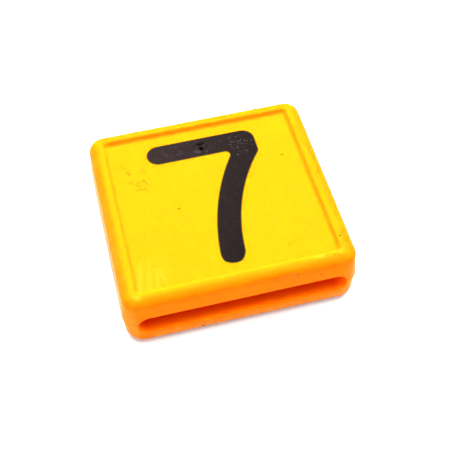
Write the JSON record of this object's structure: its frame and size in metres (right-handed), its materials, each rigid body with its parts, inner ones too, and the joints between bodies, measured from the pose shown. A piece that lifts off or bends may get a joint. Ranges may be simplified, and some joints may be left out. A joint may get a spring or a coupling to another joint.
{
  "type": "collar number tag",
  "caption": "Square moulded plastic block with a wide slot right through it for a neck strap, and a black numeral let into its sunk face.",
  "frame": {"origin": "middle of the flat underside that the block rests on", "axes": "+Z out of the numbered face, +X along the slot's width towards the reader's right, +Y along the strap, from the numeral's foot to its bar"},
  "size_m": [0.0484, 0.0466, 0.0138],
  "materials": {
    "yellow_plastic": "smooth moulded, satin gloss",
    "black_plastic": "smooth moulded, satin gloss"
  },
  "bodies": {
    "root": {"tag_block": "yellow_plastic", "number_seven": "black_plastic"}
  },
  "joints": []
}
